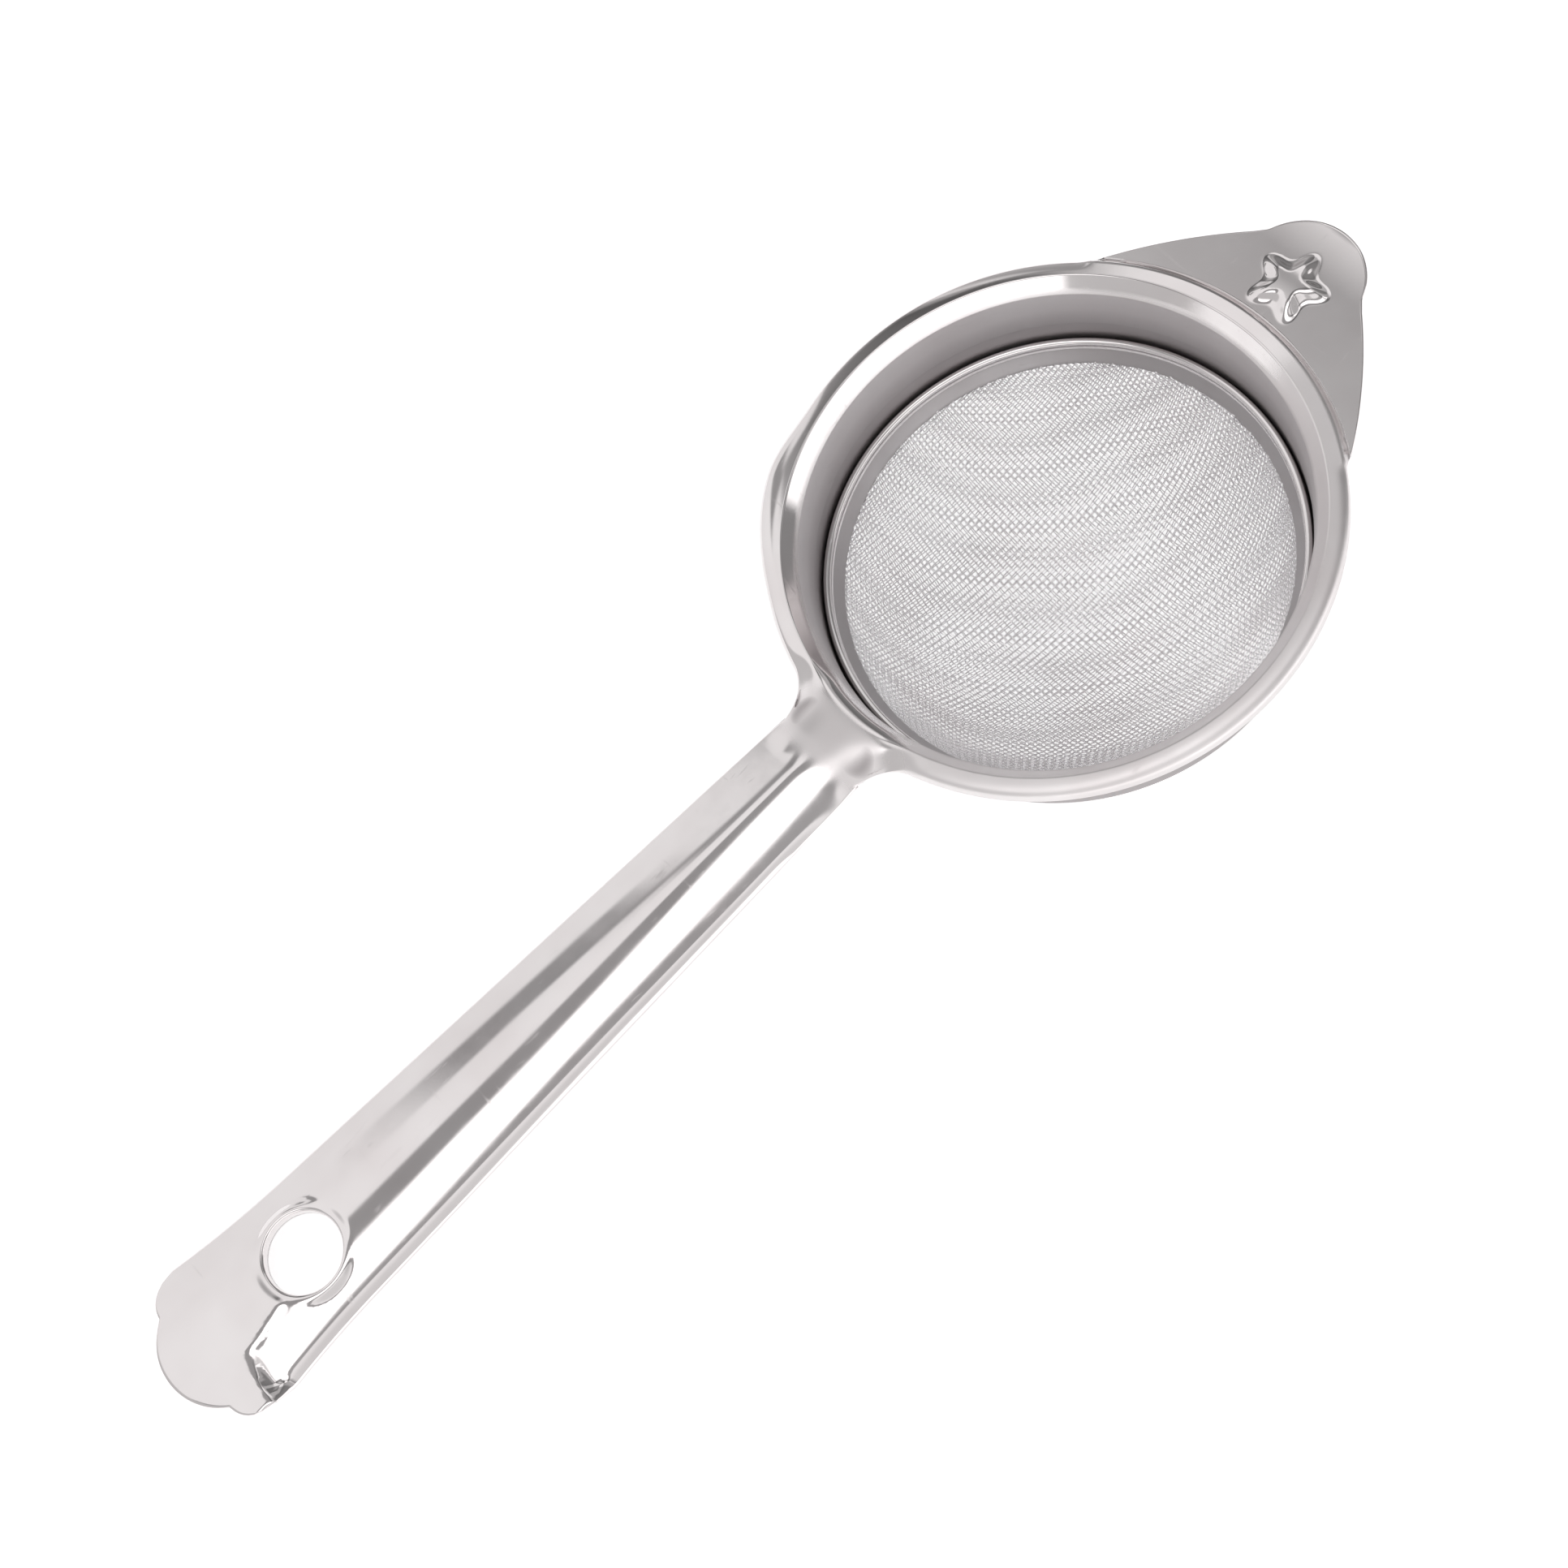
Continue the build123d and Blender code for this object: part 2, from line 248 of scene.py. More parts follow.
def boundary_edges(faces):
    """The edges that only one face uses, each in that face's direction."""
    seen = {}
    for f in faces:
        for i, a in enumerate(f):
            b = f[(i + 1) % len(f)]
            seen[(a, b)] = seen.get((a, b), 0) + 1
    return [(a, b) for (a, b) in seen if (b, a) not in seen]


def relax(pts, faces, mask, rounds, pull=0.6):
    """Evens out the masked points towards their neighbours."""
    edges = set()
    for f in faces:
        for i, a in enumerate(f):
            b = f[(i + 1) % len(f)]
            edges.add((min(a, b), max(a, b)))
    edges = np.array(sorted(edges))
    share = mask[:, None]
    for _ in range(rounds):
        total = np.zeros_like(pts)
        count = np.zeros(len(pts))
        np.add.at(total, edges[:, 0], pts[edges[:, 1]])
        np.add.at(total, edges[:, 1], pts[edges[:, 0]])
        np.add.at(count, edges[:, 0], 1)
        np.add.at(count, edges[:, 1], 1)
        pts = pts + share * pull * (total / count[:, None] - pts)
    return pts


def thicken(pts, faces, thickness, steps=5):
    """A closed sheet: the upper face, its rounded cut edges and the lower face."""
    normals = vertex_normals(pts, faces)
    lower = pts - normals * thickness
    rim = boundary_edges(faces)
    after = {a: b for a, b in rim}
    before = {b: a for a, b in rim}
    edge_ids = sorted(after)
    outward = {}
    for v in edge_ids:
        run = pts[after[v]] - pts[before[v]]
        side = np.cross(run, normals[v])
        outward[v] = side / max(np.linalg.norm(side), 1e-12)
    n = len(pts)
    all_pts = [pts, lower]
    rows = [{v: v for v in edge_ids}]
    base = 2 * n
    for k in range(1, steps):
        share = k / steps
        push = EDGE_ROUND * (1 - abs(2 * share - 1) ** 3)
        row = np.array([mix(pts[v], lower[v], share) + outward[v] * push for v in edge_ids])
        all_pts.append(row)
        rows.append({v: base + i for i, v in enumerate(edge_ids)})
        base += len(edge_ids)
    rows.append({v: v + n for v in edge_ids})
    out = list(faces)
    out += [tuple(v + n for v in reversed(f)) for f in faces]
    for a, b in rim:
        for r0, r1 in zip(rows[:-1], rows[1:]):
            out.append((r0[b], r0[a], r1[a], r1[b]))
    return np.concatenate(all_pts), out


# --- outline and height of the sheet --------------------------------------------------------------
def circle_through(p, q, tangent):
    """Centre and radius of the arc that leaves p along tangent and ends at q."""
    p, q = np.array(p, float), np.array(q, float)
    t = np.array(tangent, float) / np.linalg.norm(tangent)
    normal = np.array((-t[1], t[0]))
    chord = q - p
    radius = (chord @ chord) / (2 * chord @ normal)
    return p + normal * radius, abs(radius)


def ray_circle(angle, centre, radius, far):
    """Distance from the rim's axis to a circle along a direction."""
    d = np.array((math.cos(angle), math.sin(angle)))
    along = d @ centre
    gap = along * along - centre @ centre + radius * radius
    root = math.sqrt(max(gap, 0.0))
    return along + root if far else along - root


def ray_line(angle, p, q):
    """Distance from the rim's axis to a straight line along a direction."""
    d = np.array((math.cos(angle), math.sin(angle)))
    p, q = np.array(p, float), np.array(q, float)
    run = q - p
    return (p[0] * run[1] - p[1] * run[0]) / (d[0] * run[1] - d[1] * run[0])


tab_root = (RIM * math.cos(math.radians(TAB_ROOT_ANGLE)), RIM * math.sin(math.radians(TAB_ROOT_ANGLE)))
tab_shoulder = (TAB_TIP - TAB_SHOULDER[0], TAB_SHOULDER[1])
tab_notch = (TAB_TIP - TAB_NOTCH[0], TAB_NOTCH[1])
tab_side = circle_through(tab_root, tab_shoulder, (1, TAB_ROOT_SLOPE))
tab_lobe = circle_through((TAB_TIP, 0), tab_notch, (0, 1))


def tab_radius(angle):
    """Distance from the rim's axis to the tab's outline, for an angle from +x."""
    a = abs(angle)
    if a <= math.atan2(tab_notch[1], tab_notch[0]):
        return ray_circle(a, tab_lobe[0], tab_lobe[1], True)
    if a <= math.atan2(tab_shoulder[1], tab_shoulder[0]):
        return ray_line(a, tab_notch, tab_shoulder)
    far = tab_side[0] @ np.array((math.cos(a), math.sin(a))) < np.linalg.norm(tab_shoulder)
    return ray_circle(a, tab_side[0], tab_side[1], far)


fillet_centre = np.array((0.0, NECK_HALF + NECK_FILLET))
fillet_centre[0] = -math.sqrt((RIM + NECK_FILLET) ** 2 - fillet_centre[1] ** 2)
fillet_start = math.atan2(fillet_centre[1], -fillet_centre[0])  # angle from -x where the ring ends
NECK_X = float(fillet_centre[0])
neck_angle = math.atan2(NECK_HALF, -NECK_X)


def rim_bulge(angle):
    """How far the uneven trim stands out from the true circle."""
    degree = math.degrees(angle) % 360
    share = (degree - BULGE_FROM) / (BULGE_TO - BULGE_FROM)
    if not 0 < share < 1:
        return 0.0
    return BULGE_HEIGHT * float(smooth(share / BULGE_RISE)) * float(smooth((1 - share) / BULGE_DROP))


def flange_outline(angle):
    """Outer radius of the flange's patch: the rim, the tab's step, the neck's fillets and the neck."""
    a = math.atan2(math.sin(angle), math.cos(angle))
    if abs(a) < math.radians(TAB_ROOT_ANGLE):
        return min(max(tab_radius(a), RIM), TAB_STEP_END)
    back = math.pi - abs(a)
    if back < neck_angle:
        return -NECK_X / math.cos(back)
    if back < fillet_start:
        mirrored = np.array((-fillet_centre[0], fillet_centre[1]))
        return ray_circle(back, mirrored, NECK_FILLET, False)
    return RIM + rim_bulge(a)


def half_width(x):
    """Half the handle's width at a place on its axis."""
    grip, end = TIP_X + GRIP_FROM_END, TIP_X + END_FROM_TIP
    first = mix(NECK_HALF, GRIP_HALF, (NECK_X - x) / (NECK_X - grip))
    flare = np.clip((grip - x) / (grip - end), 0, 1)
    taper = (GRIP_HALF - NECK_HALF) / (NECK_X - grip) * (grip - end)
    second = GRIP_HALF + taper * flare + (END_HALF - GRIP_HALF - taper) * flare**2
    return np.where(x > grip, first, second)


def handle_height(x, y):
    """Height of the handle's upper face.

    It is an arch with a low ridge. At the tip it ends on a flat plate, level with the ridge, so that on
    the -y side the arch stops in a pocket. The -y edge curls down a little more than the rest.
    """
    t = y / half_width(x)
    past = HOLE_X - x
    crest = mix(CREST_DEPTH, END_CREST_DEPTH, smooth((TIP_X + END_CREST_START - x) / END_CREST_RUN))
    far_side = smooth(0.5 + 0.8 * t)
    fade = smooth((past - FAR_EDGE_PAST) / FAR_EDGE_RUN)
    edge = mix(CREST_DEPTH + ARCH_DEPTH, FAR_EDGE_DEPTH, far_side * fade)
    ridge = mix(RIDGE_AT_NECK, RIDGE_AT_GRIP, smooth((NECK_X - RIDGE_START - x) / RIDGE_RUN))
    roof = (t * t + RIDGE_ROUND**2) ** (ridge / 2) - RIDGE_ROUND**ridge
    arch = mix(roof, np.abs(t) ** NECK_ARCH, smooth((x - (NECK_X - NECK_ARCH_START)) / NECK_ARCH_RUN))
    curl = CURL_DEPTH * smooth((NECK_X - CURL_START - x) / CURL_RUN)
    curl = curl * np.clip((-t - CURL_FROM) / (1 - CURL_FROM), 0, 1) ** 1.5
    w = -(crest + (edge - crest) * arch) - curl

    (top_past, top_y), (corner_past, corner_y) = POCKET_TOP, POCKET_CORNER
    along = np.clip((past - top_past) / (corner_past - top_past), 0, 1)
    side_y = -mix(top_y, corner_y, along)
    fade = mix(PLATE_RUN_NEAR, PLATE_RUN_FAR, smooth((y + 1.0) / 3.0))
    beside = smooth((y - side_y) / POCKET_SIDE + 0.5) * smooth((past - PLATE_PAST) / fade)
    skew = POCKET_SKEW * np.clip(-y - corner_y, 0, 4)
    beyond = smooth((past - POCKET_PAST - skew) / POCKET_WALL)
    beyond = mix(beyond, smooth((past - STRIP_PAST) / STRIP_RUN), smooth((-t - STRIP_FROM) / STRIP_FADE))
    plate = np.maximum(beside, beyond) * (1 - smooth((t - PLATE_FROM) / PLATE_RUN))
    w = mix(w, -(crest + PLATE_FALL * t * t), plate)

    flat = 1 - smooth((np.hypot(x - HOLE_X, y) - HOLE_FLAT) / HOLE_FADE)
    return mix(w, -HOLE_LIP_TOP, flat)


def star_height(x, y):
    """Pressed star: a low dome on a five-lobed outline with narrow points."""
    dx, dy = x - (TAB_TIP - STAR_FROM_TIP), y - STAR_ASIDE
    reach = np.hypot(dx, dy)
    wave = 0.5 + 0.5 * np.cos(STAR_POINTS * (np.arctan2(dy, dx) - math.radians(STAR_TURN)))
    outline = STAR_RADIUS + STAR_LOBE * (2 * wave**STAR_VALLEY - 1) * smooth(reach / STAR_CORE)
    rise = np.clip((outline - reach + STAR_FOOT) / STAR_SLOPE, 0, 1)
    return STAR_HEIGHT * smooth(rise) * (1 - (reach / STAR_DOME) ** 2)


# --- the pressed frame ----------------------------------------------------------------------------
def flange_angles():
    """Directions of the flange's columns: close together at the star and at the neck."""
    out = []
    for (a, step_a), (b, step_b) in zip(FLANGE_STOPS[:-1], FLANGE_STOPS[1:]):
        count = max(1, round((b - a) / ((step_a + step_b) / 2)))
        out += list(np.linspace(a, b, count, endpoint=False))
    return np.radians(np.array(out))


def inner_profile():
    """Radius and height stations from the foot of the collar up to the flange's ridge."""
    corners = [(FOOT_OPENING, -COLLAR_FOOT), (COLLAR_SEAT, -COLLAR_FOOT), (COLLAR_SEAT, -COLLAR_SEAT_START),
               (CREASE_RADIUS, -CREASE_DEPTH), (RIDGE_RADIUS, -RIDGE_DEPTH)]
    out = [corners[0]]
    for i, bend in enumerate(COLLAR_BENDS):
        p, q, r = (np.array(corners[i + k], float) for k in range(3))
        u, v = (p - q) / np.linalg.norm(p - q), (r - q) / np.linalg.norm(r - q)
        half = math.acos(np.clip(u @ v, -1, 1)) / 2
        cut = min(bend / math.tan(half), 0.45 * np.linalg.norm(p - q), 0.45 * np.linalg.norm(r - q))
        for s in np.linspace(0, 1, 5):
            a, b = mix(q + u * cut, q, s), mix(q, q + v * cut, s)
            out.append(tuple(mix(a, b, s)))
        start = np.array(out[-1])
        straight = (0.24, 0.48) if i < 2 else (0.35, 0.65, 0.85, 0.95)
        out += [tuple(mix(start, r, s)) for s in straight]
    return out


def flange_grid(angles):
    """The collar, the flange's two slopes and its turned edge, one column for each direction."""
    inner = inner_profile()
    # each step outwards: share of the flange's width, and share of the drop from its top to its edge
    steps = [(share, 1 - (1 - share**FLANGE_CORNER) ** (1 / FLANGE_CORNER)) for share in FLANGE_SHARES]
    still_to_drop = 1 - steps[-1][1]
    steps += [(1.0, 1 - still_to_drop * (1 - share)) for share in WALL_SHARES]
    side_height = float(handle_height(np.array(NECK_X), np.array(NECK_HALF)))
    grid = np.zeros((len(inner) + len(steps), len(angles), 3))
    for j, angle in enumerate(angles):
        c, s = math.cos(angle), math.sin(angle)
        off_x = abs(math.atan2(s, c))
        reach = flange_outline(angle)
        back = math.pi - off_x
        saddle_from = fillet_start * NECK_SPREAD
        neck = float(smooth((saddle_from - back) / (saddle_from - neck_angle)))
        root = math.radians(TAB_ROOT_ANGLE + TAB_ROOT_MARGIN)
        tab = 1.0 if reach >= TAB_STEP_END and off_x < 1 else 0.0
        tab = max(tab, float(smooth((root - off_x) / math.radians(TAB_ROOT_FADE))))
        if back < neck_angle:
            low = float(handle_height(np.array(reach * c), np.array(reach * s)))
        else:
            low = mix(-FLANGE_EDGE_DEPTH, side_height, neck)
        low = mix(low, -TAB_DEPTH, tab)
        for i, (r, w) in enumerate(inner):
            grid[i, j] = (r * c, r * s, w)
        width = reach - RIDGE_RADIUS
        for i, (out, drop) in enumerate(steps, len(inner)):
            top = -RIDGE_DEPTH - FLANGE_SLOPE * width * out
            free = mix(top, low, drop)
            saddle = mix(-RIDGE_DEPTH, low, float(smooth(out)))
            step = mix(top, low, float(smooth((width * out - TAB_STEP_START) / TAB_STEP_RUN)))
            r = RIDGE_RADIUS + width * out
            grid[i, j] = (r * c, r * s, mix(mix(free, saddle, neck), step, tab))
    return grid


def tab_grid(angles):
    """The rest tab, from the flange's step out to its outline, with the star pressed up."""
    start = TAB_STEP_END
    star_x = TAB_TIP - STAR_FROM_TIP
    at_star = np.arange(star_x - STAR_GRID_HALF - start, star_x + STAR_GRID_HALF - start, STAR_GRID)
    full = TAB_TIP - start
    before, after = np.linspace(0, at_star[0], 3)[:-1], np.linspace(at_star[-1], full, TAB_TIP_ROWS)[1:]
    shares = np.concatenate([before, at_star, after]) / full
    grid = np.zeros((len(shares), len(angles), 3))
    for j, angle in enumerate(angles):
        reach = max(tab_radius(angle), RIM)
        near = min(reach, start)
        if reach < start + 0.05:  # too short for a strip of its own: the column closes up
            reach = near
        r = near + (reach - near) * shares
        x, y = r * math.cos(angle), r * math.sin(angle)
        lift = TAB_LIFT * np.clip((x - star_x - TAB_LIFT_START) / TAB_LIFT_RUN, 0, 1) ** 2
        grid[:, j] = np.stack([x, y, -TAB_DEPTH + star_height(x, y) + lift], axis=1)
    return grid


def end_of_handle(y):
    """Place on the axis where the handle's end outline lies, for a distance from the axis."""
    notch_x = TIP_X + NOTCH_FROM_TIP
    radius = (NOTCH_HALF**2 + NOTCH_FROM_TIP**2) / (2 * NOTCH_FROM_TIP)
    if abs(y) <= NOTCH_HALF:
        return TIP_X + radius - math.sqrt(radius**2 - y**2)
    share = (abs(y) - NOTCH_HALF) / (END_HALF - NOTCH_HALF)
    corner = 1 - math.sqrt(max(1 - share**END_CORNER, 0.0))
    return notch_x + NOTCH_STEP * share + (END_FROM_TIP - NOTCH_FROM_TIP - NOTCH_STEP) * corner


def handle_grid(columns):
    """The handle from the neck to its scalloped end, as rows across it."""
    end_x = TIP_X + END_FROM_TIP
    along = np.linspace(0, 1, HANDLE_ROWS)
    grid = np.zeros((len(along), len(columns), 3))
    beyond = (along - STRAIGHT_ROWS) / (1 - STRAIGHT_ROWS)
    for j, u in enumerate(columns):
        last = end_of_handle(float(np.clip(u * END_HALF, -END_HALF, END_HALF)))
        x = mix(NECK_X, end_x, np.clip(along / STRAIGHT_ROWS, 0, 1))
        x = np.where(along > STRAIGHT_ROWS, mix(end_x, last, beyond), x)
        y = u * half_width(np.maximum(x, end_x))
        grid[:, j] = np.stack([x, y, handle_height(x, y)], axis=1)
    return grid


def hole_grid(loop):
    """Rings from a loop on the handle's grid in to the hole, over its rolled edge and down its lip."""
    direction = np.arctan2(loop[:, 1], loop[:, 0] - HOLE_X)
    reach = np.hypot(loop[:, 0] - HOLE_X, loop[:, 1])

    def ring(radius, height=None):
        x, y = HOLE_X + radius * np.cos(direction), radius * np.sin(direction)
        return np.stack([x, y, handle_height(x, y) if height is None else np.full_like(x, height)], axis=1)

    rings = [loop]
    rolled = HOLE_RADIUS + HOLE_ROLL
    rings += [ring(mix(reach, rolled, share)) for share in np.linspace(0, 1, HOLE_RINGS)[1:]]
    for bend in np.linspace(0, math.pi / 2, ROLL_RINGS)[1:]:
        radius = HOLE_RADIUS + HOLE_ROLL * (1 - math.sin(bend))
        rings.append(ring(radius, -HOLE_LIP_TOP - HOLE_ROLL * (1 - math.cos(bend))))
    rings += [ring(HOLE_RADIUS, -depth) for depth in (HOLE_LIP_MIDDLE, HOLE_LIP_DEPTH)]
    return np.array(rings)


def build_frame():
    """The pressed sheet: its patches welded, evened out at the neck and given their thickness."""
    sheet = Sheet()
    angles = flange_angles()
    sheet.add_grid(flange_grid(angles)[:, ::-1], closed=True)
    inside_tab = [a for a in angles if tab_radius(a) > RIM and abs(a) < math.radians(TAB_ROOT_ANGLE)]
    sheet.add_grid(tab_grid(inside_tab)[:, ::-1])

    # the handle's columns start from the flange's columns, so that the two patches share their points
    backs = [a - math.pi if a > 0 else a + math.pi for a in angles]
    columns = sorted({round(-math.tan(b) * NECK_X / NECK_HALF, 9) for b in backs if abs(b) < neck_angle})
    columns = np.array([-1.0] + [c for c in columns if -1 < c < 1] + [1.0])
    handle = handle_grid(columns)
    rows_x = handle[:, len(columns) // 2, 0]
    cols_y = columns * float(half_width(np.array(HOLE_X)))
    top = int(np.argmin(np.abs(rows_x - (HOLE_X + HOLE_PATCH[0]))))
    low = int(np.argmin(np.abs(rows_x - (HOLE_X - HOLE_PATCH[0]))))
    left = int(np.argmin(np.abs(cols_y + HOLE_PATCH[1])))
    right = int(np.argmin(np.abs(cols_y - HOLE_PATCH[1])))
    sheet.add_grid(handle, skip=lambda i, j: top <= i < low and left <= j < right)
    loop = [handle[i, left] for i in range(top, low)]
    loop += [handle[low, j] for j in range(left, right)]
    loop += [handle[i, right] for i in range(low, top, -1)]
    loop += [handle[top, j] for j in range(right, left, -1)]
    sheet.add_grid(hole_grid(np.array(loop))[:, ::-1], closed=True)

    pts, faces = sheet.weld()
    off = pts[:, 0] - NECK_X - EASE_FROM_NECK
    off = np.where(off < 0, EASE_HANDLE * off, off)
    near_neck = 1 - smooth((np.hypot(off, EASE_ACROSS * pts[:, 1]) - EASE_RADIUS) / EASE_FADE)
    near_neck[list({v for e in boundary_edges(faces) for v in e})] = 0
    return thicken(relax(pts, faces, near_neck, EASE_ROUNDS), faces, SHEET)


def frame_satin_and_shade(pts):
    """Where the sheet is rougher: the drawn collar, the neck's saddle and the rubbed -y side of the flange.
    Past 0.85 the share also stands for painted shade: over the whole collar, darkest towards its foot, and
    on the saddle's sides.
    """
    x, y, w = pts.T
    reach = np.hypot(x, y)
    drawn = 1 - smooth((reach - CREASE_RADIUS - DRAWN_FROM_CREASE) / DRAWN_FADE)
    drawn = drawn * mix(DRAWN_AT_TOP, 1.0, smooth((-w - DRAWN_TOP_DEPTH) / DRAWN_TOP_RUN))
    off = x - NECK_X - SADDLE_FROM_NECK
    off = np.where(off < 0, SADDLE_HANDLE * off, off)
    saddle = 1 - smooth((np.hypot(off, SADDLE_ACROSS * y) - SADDLE_RADIUS) / SADDLE_FADE)
    saddle = saddle * mix(SADDLE_MIDDLE, 1.0, smooth((np.abs(y) - SADDLE_MIDDLE_HALF) / SADDLE_MIDDLE_FADE))
    saddle = saddle * smooth((reach - RIDGE_RADIUS) / SADDLE_FROM_RIDGE)
    near_side = smooth((-y - RUBBED_FROM_AXIS) / RUBBED_SIDE_RUN) * smooth((x + RUBBED_START) / RUBBED_RUN)
    rubbed = RUBBED * near_side * (1 - smooth((reach - RIM - RUBBED_PAST_RIM) / RUBBED_PAST_RIM))
    return np.maximum(np.maximum(drawn, saddle), rubbed)


# --- the retaining ring ---------------------------------------------------------------------------
def ring_profile():
    """Section of the pressed ring: a leg behind a round bead, then a band that slopes to the cloth."""
    bead_centre, bead = np.array((30.38, -12.0)), 0.52
    pts = [(COLLAR_SEAT - 0.02, -14.2), (COLLAR_SEAT - 0.02, -12.6)]
    for a in np.linspace(0, 215, BEAD_POINTS):
        r = math.radians(a)
        pts.append((bead_centre[0] + bead * math.cos(r), bead_centre[1] + bead * math.sin(r)))
    pts += [(29.9, -12.62), (29.8, -12.8), (29.56, -13.15), (29.28, -13.55), (29.0, -13.92)]
    pts += [(28.78, -14.2), (28.66, -14.38), (28.62, -14.5), (28.68, -14.58)]
    pts += [(28.85, -14.5), (29.2, -14.25), (29.8, -13.5), (30.2, -13.1), (30.6, -12.85), (30.75, -14.2)]
    return pts


BAND_STATIONS = (19, 27)  # stations of the profile that carry the matte band


def build_ring(materials):
    profile = ring_profile()
    count = RING_SEGMENTS
    n = len(profile)
    pts = np.zeros((count, n, 3))
    for i in range(count):
        a = 2 * math.pi * i / count
        pts[i] = [(r * math.cos(a), r * math.sin(a), w) for r, w in profile]
    faces, slots = [], []
    for i in range(count):
        k = (i + 1) % count
        for j in range(n):
            m = (j + 1) % n
            faces.append((i * n + j, k * n + j, k * n + m, i * n + m))
            slots.append(1 if BAND_STATIONS[0] <= j <= BAND_STATIONS[1] else 0)
    return new_object("ring_pressed", to_row(pts.reshape(-1, 3)), faces, materials, slots=slots)


# --- woven wire -----------------------------------------------------------------------------------
def bowl_point(x, y, lift, ball, ball_depth, brim):
    """Lays a flat point of the cloth onto the ball, and onto the flat brim past the ball's mouth."""
    reach = np.hypot(x, y)
    mouth = math.acos(np.clip((brim - ball_depth) / ball, -1, 1))
    edge = ball * mouth
    bend = np.minimum(reach, edge) / ball
    beyond = np.maximum(reach - edge, 0.0)
    r = (ball + lift) * np.sin(bend) + beyond
    down = ball_depth + (ball + lift) * np.cos(bend)
    reach = np.maximum(reach, 1e-9)
    return np.stack([x / reach * r, y / reach * r, -down], axis=-1)


def drawn_shift(x, y):
    """How far one cloth was drawn along the bands against the other when the bowls were pressed."""
    turn = math.radians(BAND_TURN)
    up = x * math.cos(turn) + y * math.sin(turn)
    right = x * math.sin(turn) - y * math.cos(turn)
    ripple = RIPPLE * np.sin(right / RIPPLE_ACROSS + RIPPLE_PHASE) * np.cos(up / RIPPLE_ALONG)
    return 0.5 * PITCH / BAND_PITCH * (up - BAND_SLOPE * right - BAND_BEND * right**2 + ripple)


def build_wires(name, ball, ball_depth, brim, sign, along_x, material, sides=WIRE_SIDES):
    """One set of wires of a plain weave, each a tube that passes over and under the others."""
    mouth = math.acos((brim - ball_depth) / ball)
    size = ball * mouth + BRIM_WIDTH
    count = int((size + 5.0) / PITCH)
    cross = np.arange(-2 * count, 2 * count + 1) * PITCH / 2
    points, faces = [], []
    ring_angles = np.arange(sides) * 2 * math.pi / sides
    base = 0
    for k in range(-count, count + 1):
        own = np.full_like(cross, k * PITCH)
        u, v = (cross, own) if along_x else (own, cross)
        x, y = u, v
        for _ in range(12):
            shift = sign * drawn_shift(x, y)
            x, y = u + shift, v - shift
        keep = np.hypot(x, y) <= size
        if keep.sum() < 7:
            continue
        x, y, run = x[keep], y[keep], cross[keep]
        phase = math.pi * run / PITCH + (math.pi * k if along_x else math.pi * (k + 1))
        wave = 0.5 * WIRE * np.cos(phase)
        centre = bowl_point(x, y, wave, ball, ball_depth, brim)
        out = bowl_point(x, y, wave + 0.05, ball, ball_depth, brim) - centre
        out[np.linalg.norm(out, axis=1) < 1e-4] = (0, 0, -0.05)
        run_dir = np.gradient(centre, axis=0)
        run_dir /= np.linalg.norm(run_dir, axis=1, keepdims=True)
        side = np.cross(run_dir, out)
        side /= np.linalg.norm(side, axis=1, keepdims=True)
        up = np.cross(side, run_dir)
        across = np.cos(ring_angles)[:, None] * side[:, None] + np.sin(ring_angles)[:, None] * up[:, None]
        ring = centre[:, None] + 0.5 * WIRE * across
        points.append(ring.reshape(-1, 3))
        rows = len(run)
        for i in range(rows - 1):
            a = base + i * sides
            for s in range(sides):
                t = (s + 1) % sides
                faces.append((a + s, a + t, a + sides + t, a + sides + s))
        faces.append(tuple(base + s for s in range(sides))[::-1])
        faces.append(tuple(base + (rows - 1) * sides + s for s in range(sides)))
        base += rows * sides
    return new_object(name, to_row(np.concatenate(points)), faces, [material])


# --- materials ------------------------------------------------------------------------------------
def node_material(name):
    material = bpy.data.materials.new(name)
    material.use_nodes = True
    nodes = material.node_tree.nodes
    return material, nodes, material.node_tree.links, nodes["Principled BSDF"]


def noise(nodes, links, coords, scale, detail=2.0, rough=0.5, stretch=(1, 1, 1)):
    mapping = nodes.new("ShaderNodeMapping")
    mapping.inputs["Scale"].default_value = stretch
    links.new(coords, mapping.inputs["Vector"])
    tex = nodes.new("ShaderNodeTexNoise")
    tex.inputs["Scale"].default_value = scale
    tex.inputs["Detail"].default_value = detail
    tex.inputs["Roughness"].default_value = rough
    links.new(mapping.outputs["Vector"], tex.inputs["Vector"])
    return tex.outputs["Fac"]


def ranged(nodes, links, value, low, high, out_low, out_high):
    node = nodes.new("ShaderNodeMapRange")
    node.inputs["From Min"].default_value = low
    node.inputs["From Max"].default_value = high
    node.inputs["To Min"].default_value = out_low
    node.inputs["To Max"].default_value = out_high
    links.new(value, node.inputs["Value"])
    return node.outputs["Result"]


def math_node(nodes, links, kind, a, b):
    node = nodes.new("ShaderNodeMath")
    node.operation = kind
    for socket, value in zip(node.inputs, (a, b)):
        if isinstance(value, (int, float)):
            socket.default_value = value
        else:
            links.new(value, socket)
    return node.outputs[0]


def blend(nodes, links, share, a, b):
    """Colour that goes from a to b; each is a socket or a plain colour."""
    node = nodes.new("ShaderNodeMix")
    node.data_type = "RGBA"
    links.new(share, node.inputs[0])
    for socket, value in ((node.inputs[6], a), (node.inputs[7], b)):
        if isinstance(value, tuple):
            socket.default_value = (*value, 1)
        else:
            links.new(value, socket)
    return node.outputs[2]


def darker(colour, shares):
    return tuple(value * share for value, share in zip(colour, shares))


